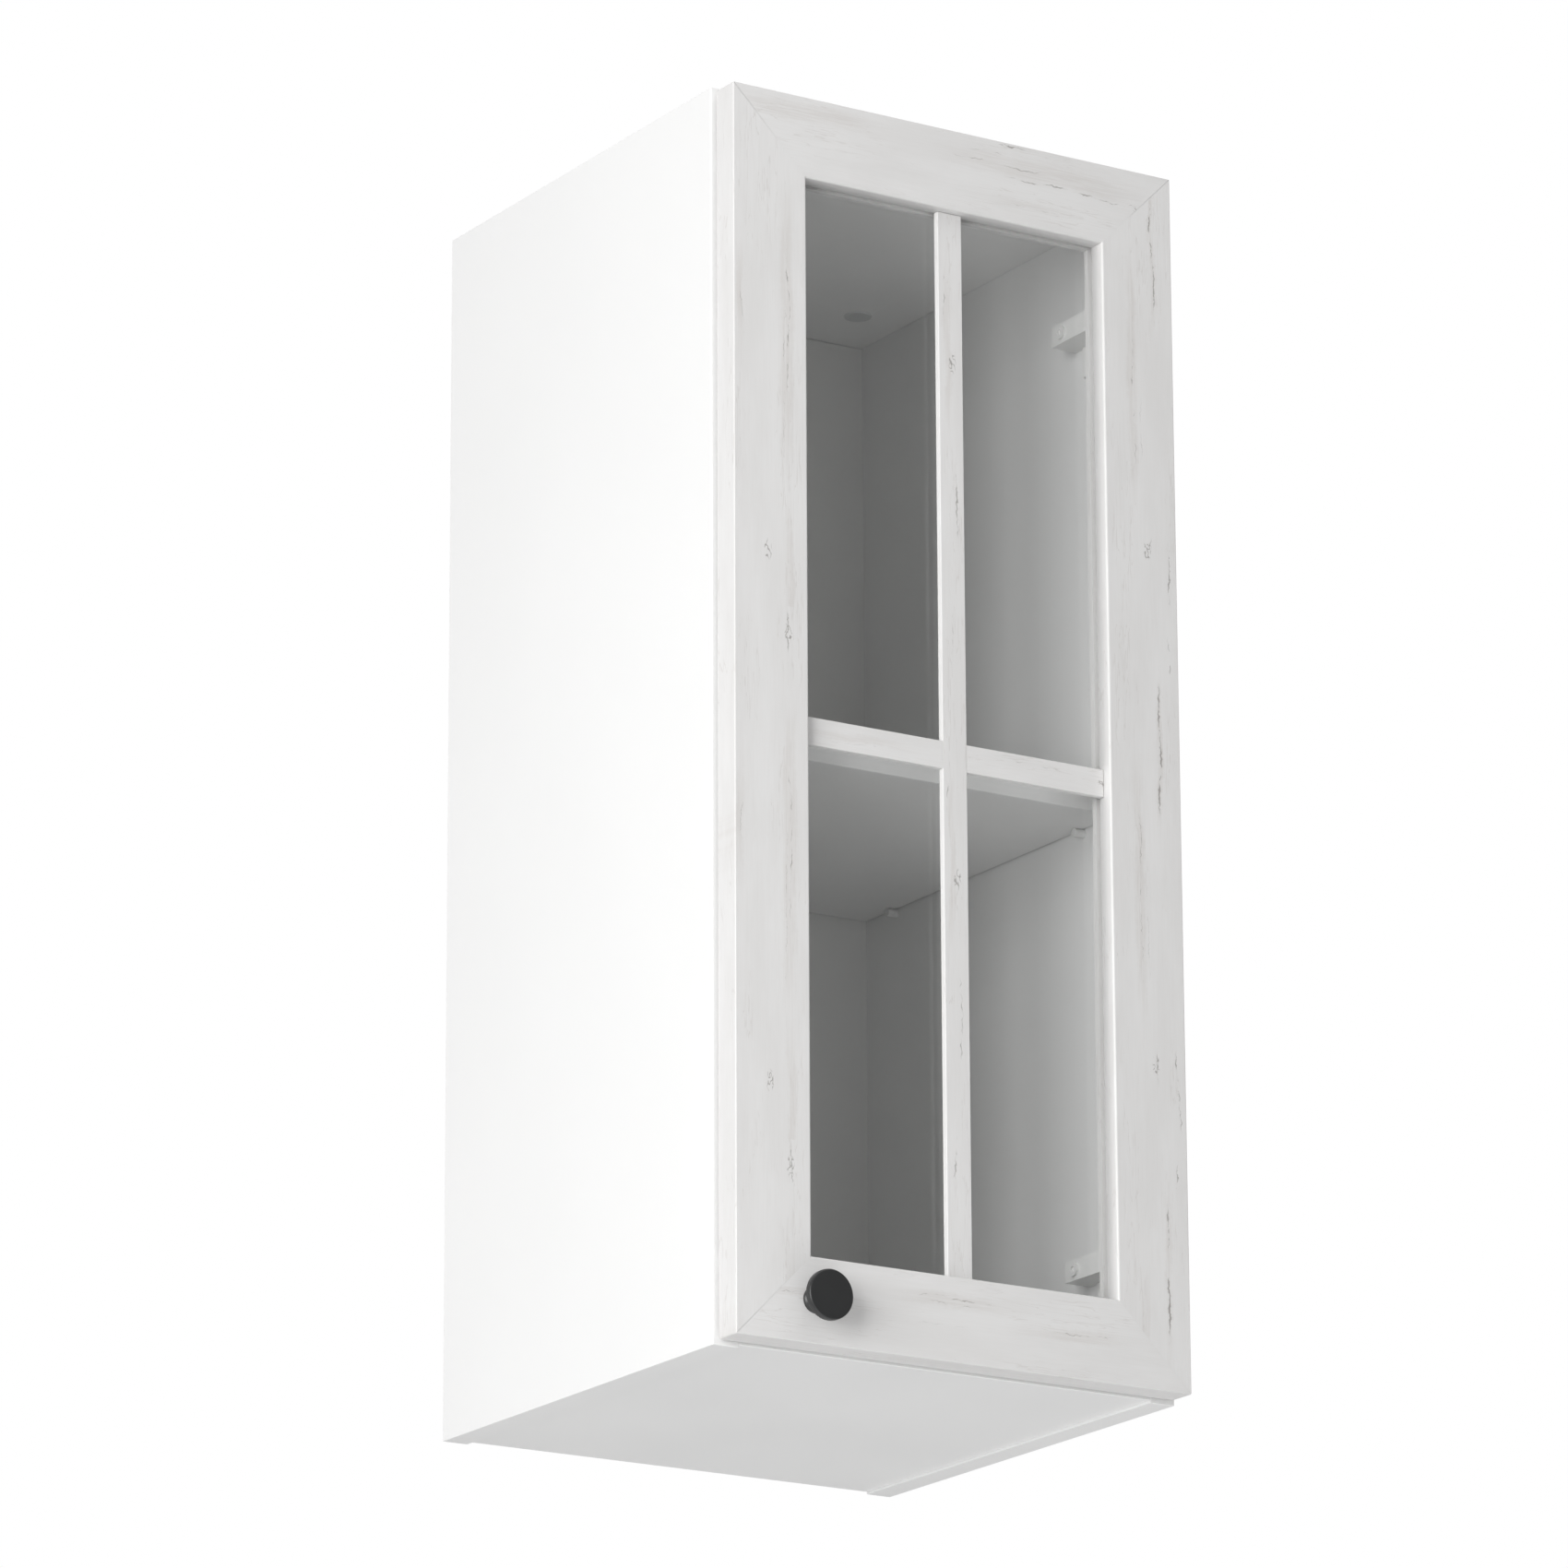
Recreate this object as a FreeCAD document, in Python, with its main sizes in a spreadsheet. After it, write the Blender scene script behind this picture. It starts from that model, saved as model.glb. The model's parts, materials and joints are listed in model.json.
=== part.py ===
"""Narrow wall cabinet with a glazed four-light door on two concealed hinges.

Origin: centre of the bottom panel's underside; the side panels reach a little lower. +Z is up, the door is
on the -Y side and the hinges are on the +X side. Every size is in millimetres and lives in the spreadsheet,
and the pieces are bound to its cells.
"""
import FreeCAD, Part
import math
import os
import re

Vector = FreeCAD.Vector
doc = FreeCAD.newDocument("wall_cabinet")

SIZES = {
    # carcass
    "width": 300,
    "depth": 290,
    "height": 718.5,
    "side_drop": 1.5,
    "board": 16,
    "band": 1,
    "back_board": 3,
    "rebate_wide": 8,
    "rebate_deep": 4,
    "fit_gap": 0.5,
    "hole_slack": 0.1,
    "overrun": 1,
    # nails in the back
    "nail_radius": 0.7,
    "nail_head": 1.6,
    "nail_head_tall": 0.6,
    "nail_long": 16,
    "nail_margin": 14,
    "floor_nail_pitch": 70,
    # shelf
    "shelf_top": 358.5,
    "shelf_setback": 22,
    "shelf_slack": 1,
    "pin_radius": 2.5,
    "pin_bite": 8,
    "pin_reach": 7,
    "pin_inset": 37,
    "front_pin_step": 20,
    # cam fittings and dowels
    "cam_radius": 7.5,
    "cam_length": 12.6,
    "cam_setback": 34,
    "cam_inset": 52,
    "cam_sunk": 0.3,
    "cam_throat": 3,
    "cam_drive": 3,
    "cam_drive_deep": 2.5,
    "bolt_radius": 3,
    "bolt_neck": 2.5,
    "bolt_bite": 11,
    "bolt_head": 4,
    "bolt_end": 1,
    "bolt_slack": 0.5,
    "cap_radius": 8.5,
    "cap_slope": 0.6,
    "cap_thick": 0.8,
    "dowel_radius": 4,
    "dowel_bite": 10,
    "dowel_reach": 20,
    "dowel_step": 32,
    # door
    "door_gap": 2,
    "side_reveal": 2,
    "top_reveal": 2.5,
    "low_reveal": 1,
    "door_thick": 18,
    "member": 48,
    "inner_round": 1.2,
    "glass_recess": 10.5,
    "glass": 4,
    "glass_lap": 6,
    "bar_width": 16,
    "bar_recess": 6.5,
    "bar_height": 347,
    "mitre_dowel": 3,
    "mitre_reach": 12,
    "mitre_first": 22,
    "mitre_second": 46,
    # knob
    "knob_x": 98,
    "knob_radius": 14,
    "knob_head": 4.5,
    "knob_reach": 17,
    "knob_neck": 6,
    "knob_foot": 7.5,
    "knob_base": 1.5,
    "knob_rim": 1.2,
    "knob_screw": 2,
    "knob_bite": 8,
    "knob_screw_head": 4,
    "knob_screw_tall": 1.6,
    # hinges
    "hinge_inset": 80,
    "cup_radius": 17.5,
    "cup_depth": 13,
    "cup_wall": 2,
    "cup_floor": 1.2,
    "cup_setback": 22.5,
    "cup_notch": 10,
    "notch_deep": 9,
    "notch_air": 0.5,
    "flange": 1.2,
    "flange_half": 29,
    "flange_margin": 5.5,
    "flange_air": 1,
    "cup_screw": 1.5,
    "cup_screw_long": 13,
    "cup_screw_head": 2.7,
    "cup_screw_back": 9.5,
    "cup_screw_step": 22.5,
    "link_pin": 1.25,
    "link_eye": 2.6,
    "cup_pin_half": 11,
    "running": 0.05,
    "arm_pivot_in": 15,
    "arm_pivot_out": 7,
    "cup_pivot_in": 10.8,
    "cup_pivot_deep": 5.8,
    "link_sag": 4.5,
    "link_thick": 2.5,
    "link_inside": 6.6,
    "link_plate": 1.5,
    "web_thick": 1.2,
    "web_from": 0.34,
    "web_upto": 0.68,
    "arm_half": 6.2,
    "arm_thick": 7,
    "arm_tail": 55,
    "arm_nose": 3,
    "arm_cheek": 2,
    "arm_slot": 8,
    "arm_wall": 1.6,
    "arm_channel": 16,
    "arm_screw": 2,
    "arm_screw_air": 0.2,
    "arm_screw_bite": 8,
    "arm_screw_back": 8,
    "arm_screw_head": 4,
    "arm_screw_tall": 1.8,
    "plate_line": 37,
    "plate_thick": 2.5,
    "plate_half": 24,
    "plate_front": 10,
    "plate_wide": 20,
    "plate_pitch": 16,
    "plate_screw": 2.5,
    "plate_screw_long": 13,
    "plate_screw_head": 4.5,
    "boss_front": 14,
    "boss_long": 34,
    "boss_air": 0.6,
    # wall hangers
    "hanger_pitch": 180,
    "hanger_long": 46,
    "hanger_tall": 13,
    "hanger_thick": 1.5,
    "hanger_screw": 1.5,
    "hanger_screw_long": 18,
    "hanger_screw_head": 3,
    "hanger_screw_step": 16,
    "keyhole_radius": 4,
    "keyhole_slot": 2,
    "keyhole_rise": 3.5,
    "keyhole_drop": 1.5,
    "keyhole_slack": 0.25,
    "keyhole_pocket": 12,
    # bumpers
    "bumper_radius": 4,
    "bumper_slope": 1,
    "bumper_inset": 45,
    "bumper_air": 0.1,
}

sheet = doc.addObject("Spreadsheet::Sheet", "sizes")
for row, (alias, number) in enumerate(SIZES.items(), start=1):
    sheet.set(f"A{row}", alias)
    sheet.set(f"B{row}", str(number))
    sheet.setAlias(f"B{row}", alias)
doc.recompute()

WORD = re.compile(r"[a-z][a-z_]+")
TURNS = {
    "+X": FreeCAD.Rotation(Vector(0, 1, 0), 90),
    "-X": FreeCAD.Rotation(Vector(0, 1, 0), -90),
    "+Y": FreeCAD.Rotation(Vector(1, 0, 0), -90),
    "-Y": FreeCAD.Rotation(Vector(1, 0, 0), 90),
    "+Z": FreeCAD.Rotation(),
    "-Z": FreeCAD.Rotation(Vector(1, 0, 0), 180),
}
RECESS_WIDE = 0.8
SUNK_RECESS = 0.8
PROUD_RECESS = 0.7
NAIL_COUNT = 6
NEAR = 0.01
nodes = []


def cells(text):
    """An expression in which every word names a cell of the sheet."""
    return WORD.sub(lambda word: "sizes." + word.group(0), str(text))


def size(alias):
    return float(sheet.get(alias))


def bind(thing, **values):
    for key, text in values.items():
        thing.setExpression(key, cells(text))


def place(thing, x, y, z, turn=None):
    if turn is not None:
        thing.Placement = FreeCAD.Placement(Vector(), turn)
    thing.setExpression("Placement.Base.x", cells(x))
    thing.setExpression("Placement.Base.y", cells(y))
    thing.setExpression("Placement.Base.z", cells(z))


def box(x, y, z, long, deep, tall):
    """A block from its lowest corner."""
    thing = doc.addObject("Part::Box", "block")
    bind(thing, Length=long, Width=deep, Height=tall)
    place(thing, x, y, z)
    return thing


def rod(way, x, y, z, radius, length):
    """A round bar that starts at x, y, z and runs the way given."""
    thing = doc.addObject("Part::Cylinder", "rod")
    bind(thing, Radius=radius, Height=length)
    place(thing, x, y, z, TURNS[way])
    return thing


def taper(way, x, y, z, near, far, length):
    thing = doc.addObject("Part::Cone", "taper")
    bind(thing, Radius1=near, Radius2=far, Height=length)
    place(thing, x, y, z, TURNS[way])
    return thing


def fuse(pieces):
    thing = doc.addObject("Part::MultiFuse", "fused")
    thing.Shapes = pieces
    return thing


def cut(base, tools):
    thing = doc.addObject("Part::Cut", "cut")
    thing.Base = base
    thing.Tool = fuse(tools) if len(tools) > 1 else tools[0]
    return thing


def rounded(base, radius, wanted):
    """Round the edges that wanted() picks out by their two end points."""
    doc.recompute()
    thing = doc.addObject("Part::Fillet", "rounded")
    thing.Base = base
    picked = []
    for number, edge in enumerate(base.Shape.Edges, start=1):
        if wanted(edge):
            picked.append((number, radius, radius))
    thing.Edges = picked
    return thing


def shaped(shape):
    """A piece whose outline neither the primitives nor a pad draws."""
    thing = doc.addObject("Part::Feature", "shaped")
    thing.Shape = shape
    thing.Placement = FreeCAD.Placement()
    return thing


def node(label, thing):
    thing.Label = label
    nodes.append(thing)


def group(label, pieces):
    thing = doc.addObject("Part::Compound", "group")
    thing.Links = pieces
    node(label, thing)


# ---- places shared by several pieces ----------------------------------------------------------
INNER_X = "(width / 2 - board)"
FRONT_Y = "(-depth / 2)"
REAR_Y = "(depth / 2)"
BACK_FACE_Y = "(depth / 2 - rebate_deep)"
CEILING_Z = "(height - board)"
SHELF_BASE_Z = "(shelf_top - board)"
DOOR_BACK_Y = "(-depth / 2 - door_gap)"
DOOR_FRONT_Y = "(-depth / 2 - door_gap - door_thick)"
DOOR_HALF = "(width / 2 - side_reveal)"
DOOR_LOW_Z = "low_reveal"
DOOR_TOP_Z = "(height - top_reveal)"
OPEN_HALF = "(width / 2 - side_reveal - member)"
OPEN_LOW_Z = "(low_reveal + member)"
OPEN_TOP_Z = "(height - top_reveal - member)"
GLASS_FRONT_Y = f"({DOOR_FRONT_Y} + glass_recess)"
HINGE_ZS = {"lower": "(low_reveal + hinge_inset)", "upper": "(height - top_reveal - hinge_inset)"}
CAM_YS = ["(-depth / 2 + cam_inset)", "(depth / 2 - cam_inset)"]
DOWEL_YS = ["(-depth / 2 + cam_inset + dowel_step)", "(depth / 2 - cam_inset - dowel_step)"]
# each end joint: which side, the board's mid plane, the face that its cams are bored from, and inwards
JOINTS = []
for side in (-1, 1):
    JOINTS.append((side, "(height - board / 2)", CEILING_Z, "+Z"))
    JOINTS.append((side, "(board / 2)", "board", "-Z"))
PIN_YS = ["(-depth / 2 + pin_inset + front_pin_step)", "(depth / 2 - pin_inset)"]
PLATE_Y = "(-depth / 2 + plate_line)"
PLATE_FACE_X = f"({INNER_X} - plate_thick)"
CUP_X = "(width / 2 - side_reveal - cup_setback)"
CUP_SCREW_X = f"({CUP_X} - cup_screw_back)"
CUP_FACE_Y = f"({DOOR_BACK_Y} + flange)"
ARM_X = f"({INNER_X} - arm_pivot_in)"
ARM_Y = f"({FRONT_Y} - arm_pivot_out)"
ARM_FACE_X = f"({ARM_X} - arm_thick / 2)"
ARM_SCREW_Y = f"({PLATE_Y} + arm_screw_back)"
PIVOT_X = "(width / 2 - side_reveal - cup_pivot_in)"
PIVOT_Y = f"({DOOR_BACK_Y} - cup_pivot_deep)"
HANGER_Z = "(height - board / 2)"
HANGER_LOW_Z = f"({HANGER_Z} - hanger_tall / 2)"
HANGER_FACE_Y = f"({REAR_Y} - hanger_thick)"
KEYHOLE_Z = f"({HANGER_Z} - keyhole_drop)"
KNOB_Z = "(low_reveal + member / 2)"
NAIL_X = "(width / 2 - board + rebate_wide / 2)"
NAIL_TOP_Y = f"({BACK_FACE_Y} + back_board)"
NAIL_STEP = f"(({CEILING_Z} - board - 2 * nail_margin) / {NAIL_COUNT - 1})"
NAIL_ZS = []
for step in range(NAIL_COUNT):
    NAIL_ZS.append(f"(board + nail_margin + {step} * {NAIL_STEP})")
FLOOR_NAIL_XS = ["-floor_nail_pitch", "0", "floor_nail_pitch"]
FLOOR_NAIL_Z = "(board - rebate_wide / 2)"


def inwards(side):
    return "-X" if side > 0 else "+X"


def outwards(side):
    return "+X" if side > 0 else "-X"


def low_x(side, near, long):
    """The lower X of a block that spans from |x| = near to near + long on one side."""
    if side > 0:
        return near
    return f"(-({near}) - ({long}))"


# ---- screws -------------------------------------------------------------------------------------
def screw(way, x, y, z, radius, length, head, tall, sunk):
    """A screw whose head starts at x, y, z; sunk heads taper into the piece, others stand on it."""
    back = {"+": "-", "-": "+"}[way[0]] + way[1]
    shank = rod(way, x, y, z, radius, length)
    if sunk:
        top = taper(way, x, y, z, head, radius, tall)
        recess = rod(way, x, y, z, f"({radius}) * {RECESS_WIDE}", f"({tall}) * {SUNK_RECESS}")
    else:
        top = rod(back, x, y, z, head, tall)
        sign = "-" if way[0] == "+" else "+"
        start = {"X": x, "Y": y, "Z": z}
        start[way[1]] = f"{start[way[1]]} {sign} ({tall})"
        recess = rod(way, start["X"], start["Y"], start["Z"], f"({radius}) * {RECESS_WIDE}",
                     f"({tall}) * {PROUD_RECESS}")
    return cut(fuse([shank, top]), [recess])


# ---- carcass boards -----------------------------------------------------------------------------
def joint_bores(side):
    """Blind bores in a side panel for the cam bolts and the wooden dowels of its two end joints."""
    bores = []
    for joint_side, mid_z, _, _ in JOINTS:
        if joint_side != side:
            continue
        x = f"{side} * {INNER_X}"
        for y in CAM_YS:
            bores.append(rod(outwards(side), x, y, mid_z, "bolt_radius", "bolt_bite"))
        for y in DOWEL_YS:
            bores.append(rod(outwards(side), x, y, mid_z, "dowel_radius + hole_slack",
                             "dowel_bite + fit_gap"))
    return bores


def side_panel(label, side):
    panel = box(low_x(side, INNER_X, "board"), f"{FRONT_Y} + band", "-side_drop", "board", "depth - band",
                "height + side_drop")
    cuts = joint_bores(side)
    rebate_z = "(board - rebate_wide)"
    cuts.append(box(low_x(side, INNER_X, "rebate_wide"), BACK_FACE_Y, rebate_z,
                    "rebate_wide", "rebate_deep", f"{CEILING_Z} - {rebate_z}"))
    for y in PIN_YS:
        cuts.append(rod(outwards(side), f"{side} * {INNER_X}", y, f"{SHELF_BASE_Z} - pin_radius",
                        "pin_radius", "pin_bite"))
    for z in NAIL_ZS:
        cuts.append(rod("-Y", f"{side} * {NAIL_X}", BACK_FACE_Y, z, "nail_radius", "nail_long - back_board"))
    if side > 0:
        for hinge_z in HINGE_ZS.values():
            for up in (-1, 1):
                cuts.append(rod("+X", INNER_X, PLATE_Y, f"{hinge_z} + {up} * plate_pitch",
                                "plate_screw", "plate_screw_long - plate_thick"))
    node(label, cut(panel, cuts))


def end_board(label, low_z, mid_z, cam_z, way, is_top):
    """The top or bottom board, held between the sides by cams and dowels."""
    board = box(f"-{INNER_X}", f"{FRONT_Y} + band", low_z, f"2 * {INNER_X}", "depth - band", "board")
    cuts = []
    for side in (-1, 1):
        start = f"{side} * {INNER_X}"
        for y in CAM_YS:
            cam_x = f"{side} * ({INNER_X} - cam_setback)"
            cuts.append(rod(way, cam_x, y, cam_z, "cam_radius + hole_slack",
                            "cam_length + cam_sunk + hole_slack"))
            cuts.append(rod(inwards(side), start, y, mid_z, "bolt_radius + bolt_slack",
                            "cam_setback - cam_radius + overrun"))
        for y in DOWEL_YS:
            cuts.append(rod(inwards(side), start, y, mid_z, "dowel_radius + hole_slack",
                            "dowel_reach + fit_gap"))
    if is_top:
        for side in (-1, 1):
            centre = f"{side} * hanger_pitch / 2"
            cuts.append(box(f"{centre} - hanger_long / 2", HANGER_FACE_Y, HANGER_LOW_Z,
                            "hanger_long", "hanger_thick", "hanger_tall"))
            for rise in ("0", "keyhole_rise"):
                cuts.append(rod("-Y", centre, REAR_Y, f"{KEYHOLE_Z} + {rise}", "keyhole_radius + keyhole_slack",
                                "keyhole_pocket"))
            for end in (-1, 1):
                cuts.append(rod("-Y", f"{centre} + {end} * hanger_screw_step", HANGER_FACE_Y, HANGER_Z,
                                "hanger_screw", "hanger_screw_long - hanger_thick"))
    else:
        cuts.append(box(f"-{INNER_X}", BACK_FACE_Y, "board - rebate_wide", f"2 * {INNER_X}", "rebate_deep",
                        "rebate_wide"))
        for x in FLOOR_NAIL_XS:
            cuts.append(rod("-Y", x, BACK_FACE_Y, FLOOR_NAIL_Z, "nail_radius", "nail_long - back_board"))
    node(label, cut(board, cuts))


side_panel("side_panel_left", -1)
side_panel("side_panel_right", 1)
end_board("top_panel", CEILING_Z, "(height - board / 2)", CEILING_Z, "+Z", True)
end_board("bottom_panel", "0", "(board / 2)", "board", "-Z", False)

back = box(f"-{INNER_X} - rebate_wide + fit_gap", BACK_FACE_Y, "board - rebate_wide + fit_gap",
           f"2 * ({INNER_X} + rebate_wide - fit_gap)", "back_board",
           f"{CEILING_Z} - board + rebate_wide - 2 * fit_gap")
nail_places = []
for side in (-1, 1):
    for z in NAIL_ZS:
        nail_places.append((f"{side} * {NAIL_X}", z))
for x in FLOOR_NAIL_XS:
    nail_places.append((x, FLOOR_NAIL_Z))
nail_holes = []
nails = []
for x, z in nail_places:
    nail_holes.append(rod("-Y", x, NAIL_TOP_Y, z, "nail_radius", "back_board"))
    shank = rod("-Y", x, NAIL_TOP_Y, z, "nail_radius", "nail_long")
    head = rod("+Y", x, NAIL_TOP_Y, z, "nail_head", "nail_head_tall")
    nails.append(fuse([shank, head]))
node("back_panel", cut(back, nail_holes))
group("back_nails", nails)

node("shelf", box(f"-{INNER_X} + shelf_slack", f"{FRONT_Y} + shelf_setback + band", SHELF_BASE_Z,
                  f"2 * ({INNER_X} - shelf_slack)", "depth - shelf_setback - band - rebate_deep - shelf_slack",
                  "board"))

for side, name in ((-1, "left"), (1, "right")):
    node(f"edge_band_side_{name}", box(low_x(side, INNER_X, "board"), FRONT_Y, "-side_drop", "board", "band",
                                       "height + side_drop"))
node("edge_band_top", box(f"-{INNER_X}", FRONT_Y, CEILING_Z, f"2 * {INNER_X}", "band", "board"))
node("edge_band_bottom", box(f"-{INNER_X}", FRONT_Y, 0, f"2 * {INNER_X}", "band", "board"))
node("edge_band_shelf", box(f"-{INNER_X} + shelf_slack", f"{FRONT_Y} + shelf_setback", SHELF_BASE_Z,
                            f"2 * ({INNER_X} - shelf_slack)", "band", "board"))

# ---- cams, bolts, caps, dowels and shelf pins -----------------------------------------------------
cams = []
bolts = []
caps = []
dowels = []
for side, mid_z, cam_z, way in JOINTS:
    lift = 1 if way == "+Z" else -1
    out_of_bore = "-Z" if way == "+Z" else "+Z"
    for y in CAM_YS:
        cam_x = f"{side} * ({INNER_X} - cam_setback)"
        cam = rod(way, cam_x, y, f"{cam_z} + {lift} * cam_sunk", "cam_radius", "cam_length")
        throat = rod(inwards(side), f"{side} * ({INNER_X} - cam_setback + cam_radius + overrun)", y, mid_z,
                     "bolt_radius + bolt_slack", "cam_radius + overrun + cam_throat")
        drive = rod(way, cam_x, y, f"{cam_z} + {lift} * cam_sunk", "cam_drive", "cam_drive_deep")
        cams.append(cut(cam, [throat, drive]))
        thread = rod(outwards(side), f"{side} * {INNER_X}", y, mid_z, "bolt_radius", "bolt_bite")
        neck = rod(inwards(side), f"{side} * {INNER_X}", y, mid_z, "bolt_neck", "cam_setback - bolt_end")
        head = rod(inwards(side), f"{side} * ({INNER_X} - cam_setback + bolt_end + bolt_head)", y, mid_z,
                   "bolt_radius", "bolt_head")
        bolts.append(fuse([thread, neck, head]))
        caps.append(taper(out_of_bore, cam_x, y, cam_z, "cap_radius", "cap_radius - cap_slope", "cap_thick"))
    for y in DOWEL_YS:
        start = f"{side} * ({INNER_X} - dowel_reach)"
        dowels.append(rod(outwards(side), start, y, mid_z, "dowel_radius", "dowel_reach + dowel_bite"))
group("cam_locks", cams)
group("cam_bolts", bolts)
group("cam_covers", caps)
group("wooden_dowels", dowels)

pins = []
for side in (-1, 1):
    for y in PIN_YS:
        z = f"({SHELF_BASE_Z} - pin_radius)"
        start = f"{side} * ({INNER_X} - pin_reach)"
        pins.append(rod(outwards(side), start, y, z, "pin_radius", "pin_reach + pin_bite"))
group("shelf_pins", pins)

bumpers = []
for z in ("bumper_inset", "(height - bumper_inset)"):
    bumpers.append(taper("-Y", f"-({INNER_X} + board / 2)", FRONT_Y, z, "bumper_radius",
                         "bumper_radius - bumper_slope", "door_gap - bumper_air"))
group("door_bumpers", bumpers)

# ---- wall hangers ---------------------------------------------------------------------------------
hanger_screws = []
for side, name in ((-1, "left"), (1, "right")):
    centre = f"({side} * hanger_pitch / 2)"
    plate = box(f"{centre} - hanger_long / 2", HANGER_FACE_Y, HANGER_LOW_Z,
                "hanger_long", "hanger_thick", "hanger_tall")
    cuts = [
        rod("-Y", centre, REAR_Y, KEYHOLE_Z, "keyhole_radius", "hanger_thick"),
        rod("-Y", centre, REAR_Y, f"{KEYHOLE_Z} + keyhole_rise", "keyhole_slot", "hanger_thick"),
        box(f"{centre} - keyhole_slot", HANGER_FACE_Y, KEYHOLE_Z, "2 * keyhole_slot", "hanger_thick",
            "keyhole_rise"),
    ]
    for end in (-1, 1):
        x = f"{centre} + {end} * hanger_screw_step"
        cuts.append(taper("-Y", x, REAR_Y, HANGER_Z, "hanger_screw_head", "hanger_screw", "hanger_thick"))
        hanger_screws.append(screw("-Y", x, REAR_Y, HANGER_Z, "hanger_screw", "hanger_screw_long",
                                   "hanger_screw_head", "hanger_thick", True))
    node(f"hanger_plate_{name}", cut(plate, cuts))
group("hanger_screws", hanger_screws)

# ---- door frame -------------------------------------------------------------------------------------
MITRE_SPOTS = ("mitre_first", "mitre_second")
HALF_ROOT = round(math.sqrt(0.5), 6)
CORNERS = []
for corner_x in (-1, 1):
    for corner_z in (-1, 1):
        CORNERS.append((corner_x, corner_z))


def mitre_dowel(corner_x, corner_z, along, slack, reach_slack):
    """A dowel square across one corner's mitre, at a distance along it from the outer corner."""
    start_z = DOOR_LOW_Z if corner_z < 0 else DOOR_TOP_Z
    in_x = f"({corner_x} * ({DOOR_HALF} - {along} * {HALF_ROOT}))"
    in_z = f"({start_z} - {corner_z} * {along} * {HALF_ROOT})"
    direction = Vector(corner_x, 0, -corner_z)
    direction.normalize()
    reach = f"(mitre_reach + {reach_slack})"
    thing = doc.addObject("Part::Cylinder", "rod")
    bind(thing, Radius=f"mitre_dowel + {slack}", Height=f"2 * {reach}")
    place(thing, f"{in_x} - {round(direction.x, 6)} * {reach}", f"{DOOR_BACK_Y} - door_thick / 2",
          f"{in_z} - {round(direction.z, 6)} * {reach}", FreeCAD.Rotation(Vector(0, 0, 1), direction))
    return thing


def mitred_member(length, turn, x, y, z):
    """A frame member: a bar whose ends are cut at 45 degrees, longest along its outer edge."""
    thing = doc.addObject("Part::Wedge", "member")
    bind(thing, Xmin=0, Ymin=0, Zmin=0, Z2min=0, X2min="member", Xmax=length, Ymax="member", Zmax="door_thick",
         Z2max="door_thick", X2max=f"{length} - member")
    place(thing, x, y, z, turn)
    return thing


def glass_rebate():
    return box(f"-({OPEN_HALF} + glass_lap)", GLASS_FRONT_Y, f"{OPEN_LOW_Z} - glass_lap",
               f"2 * ({OPEN_HALF} + glass_lap)", "door_thick - glass_recess",
               f"{OPEN_TOP_Z} - {OPEN_LOW_Z} + 2 * glass_lap")


def frame_turn(length_way, width_way):
    """Rotation that lays the wedge's X along length_way and its Y along width_way."""
    return FreeCAD.Rotation(length_way, width_way, length_way.cross(width_way), "XYZ")


X_WAY = Vector(1, 0, 0)
Z_WAY = Vector(0, 0, 1)
DOOR_TALL = f"({DOOR_TOP_Z} - {DOOR_LOW_Z})"
MEMBERS = {
    "door_stile_left": (DOOR_TALL, frame_turn(Z_WAY, X_WAY), f"-{DOOR_HALF}", DOOR_LOW_Z, (-1, 0)),
    "door_stile_right": (DOOR_TALL, frame_turn(Z_WAY * -1, X_WAY * -1), DOOR_HALF, DOOR_TOP_Z, (1, 0)),
    "door_rail_bottom": (f"2 * {DOOR_HALF}", frame_turn(X_WAY * -1, Z_WAY), DOOR_HALF, DOOR_LOW_Z, (0, -1)),
    "door_rail_top": (f"2 * {DOOR_HALF}", frame_turn(X_WAY, Z_WAY * -1), f"-{DOOR_HALF}", DOOR_TOP_Z, (0, 1)),
}


def sight_edge(side):
    """A test for a member's front edge along the glass opening."""
    front = -size("depth") / 2 - size("door_gap") - size("door_thick")
    lines = {
        (-1, 0): size("member") + size("side_reveal") - size("width") / 2,
        (1, 0): size("width") / 2 - size("side_reveal") - size("member"),
        (0, -1): size("low_reveal") + size("member"),
        (0, 1): size("height") - size("top_reveal") - size("member"),
    }

    def on_line(corner):
        across = corner.X if side[0] else corner.Z
        return abs(corner.Y - front) < NEAR and abs(across - lines[side]) < NEAR

    def wanted(edge):
        return len(edge.Vertexes) == 2 and all(on_line(corner) for corner in edge.Vertexes)

    return wanted


for label, (length, turn, x, z, side) in MEMBERS.items():
    member = mitred_member(length, turn, x, DOOR_FRONT_Y, z)
    cuts = [glass_rebate()]
    for corner_x, corner_z in CORNERS:
        if side[0] == corner_x or side[1] == corner_z:
            for along in MITRE_SPOTS:
                cuts.append(mitre_dowel(corner_x, corner_z, along, "hole_slack", "fit_gap"))
    if label == "door_stile_right":
        for hinge_z in HINGE_ZS.values():
            cuts.append(rod("-Y", CUP_X, DOOR_BACK_Y, hinge_z, "cup_radius + hole_slack",
                            "cup_depth + fit_gap"))
            for up in (-1, 1):
                cuts.append(rod("-Y", CUP_SCREW_X, DOOR_BACK_Y, f"{hinge_z} + {up} * cup_screw_step",
                                "cup_screw", "cup_screw_long - flange"))
    if label == "door_rail_bottom":
        cuts.append(rod("-Y", "-knob_x", DOOR_BACK_Y, KNOB_Z, "knob_screw + hole_slack", "door_thick"))
    node(label, rounded(cut(member, cuts), size("inner_round"), sight_edge(side)))

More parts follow.
